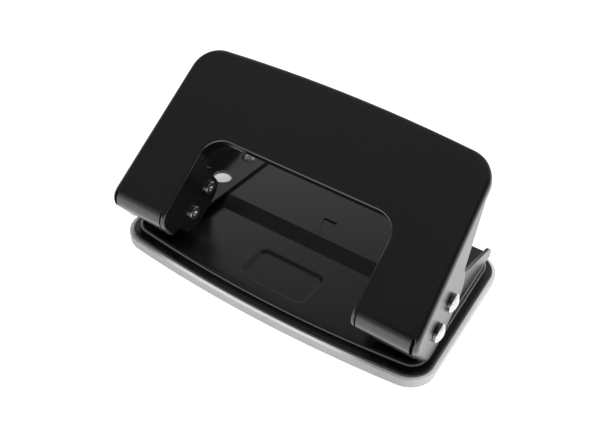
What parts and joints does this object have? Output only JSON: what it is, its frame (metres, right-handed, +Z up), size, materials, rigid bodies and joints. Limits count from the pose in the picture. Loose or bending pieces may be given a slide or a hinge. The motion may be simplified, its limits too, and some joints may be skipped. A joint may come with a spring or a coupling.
{
  "type": "hole punch",
  "caption": "Manual desk hole punch: a sprung sheet-steel lever on side brackets drives steel punches through paper into dies in a pressed base over a chip tray.",
  "frame": {"origin": "on the table, under the middle of the whole punch with its lever raised", "axes": "+X to the user's right along the row of holes, +Y away from the user to the back, +Z up"},
  "size_m": [0.1044, 0.0625, 0.0547],
  "materials": {
    "black_steel": "black satin stoved enamel on sheet steel",
    "bright_steel": "bright zinc-plated steel",
    "tool_steel": "ground and hardened steel",
    "spring_steel": "drawn spring wire",
    "tray_plastic": "milky translucent soft plastic"
  },
  "bodies": {
    "base": {"base_plate": "black_steel", "left_bracket": "black_steel", "left_bracket_rivet": "bright_steel", "left_guide_bush": "tool_steel", "left_die_ring": "tool_steel", "left_spring": "spring_steel", "right_bracket": "black_steel", "right_bracket_rivet": "bright_steel", "right_guide_bush": "tool_steel", "right_die_ring": "tool_steel", "right_spring": "spring_steel"},
    "lever": {"lever_handle": "black_steel", "left_pivot_pin": "bright_steel", "left_drive_pin": "bright_steel", "right_pivot_pin": "bright_steel", "right_drive_pin": "bright_steel"},
    "left_punch_set": {"left_punch": "tool_steel", "left_spring_seat": "tool_steel"},
    "right_punch_set": {"right_punch": "tool_steel", "right_spring_seat": "tool_steel"},
    "tray": {"chip_tray": "tray_plastic"}
  },
  "joints": [
    {"name": "lever_press", "type": "hinge", "parent": "base", "child": "lever", "pos_m": [0, -0.01768, 0.01585], "axis": [1, 0, 0], "range_deg": [-31, 0], "stiffness_Nm_per_rad": 0.25, "springref_deg": 8.59},
    {"name": "left_punch_slide", "type": "slide", "parent": "base", "child": "left_punch_set", "axis": [0, 0, 1], "range_m": [-0.00456, 0], "deforming": ["left_spring"]},
    {"name": "right_punch_slide", "type": "slide", "parent": "base", "child": "right_punch_set", "axis": [0, 0, 1], "range_m": [-0.00456, 0], "deforming": ["right_spring"]},
    {"name": "tray_pull", "type": "slide", "parent": "base", "child": "tray", "axis": [0, 0, -1], "range_m": [0, 0.012]}
  ],
  "couplings": [
    {"joint": "left_punch_slide", "follows": "lever_press", "m_per_rad": 0.0084341},
    {"joint": "right_punch_slide", "follows": "lever_press", "m_per_rad": 0.0084341}
  ]
}
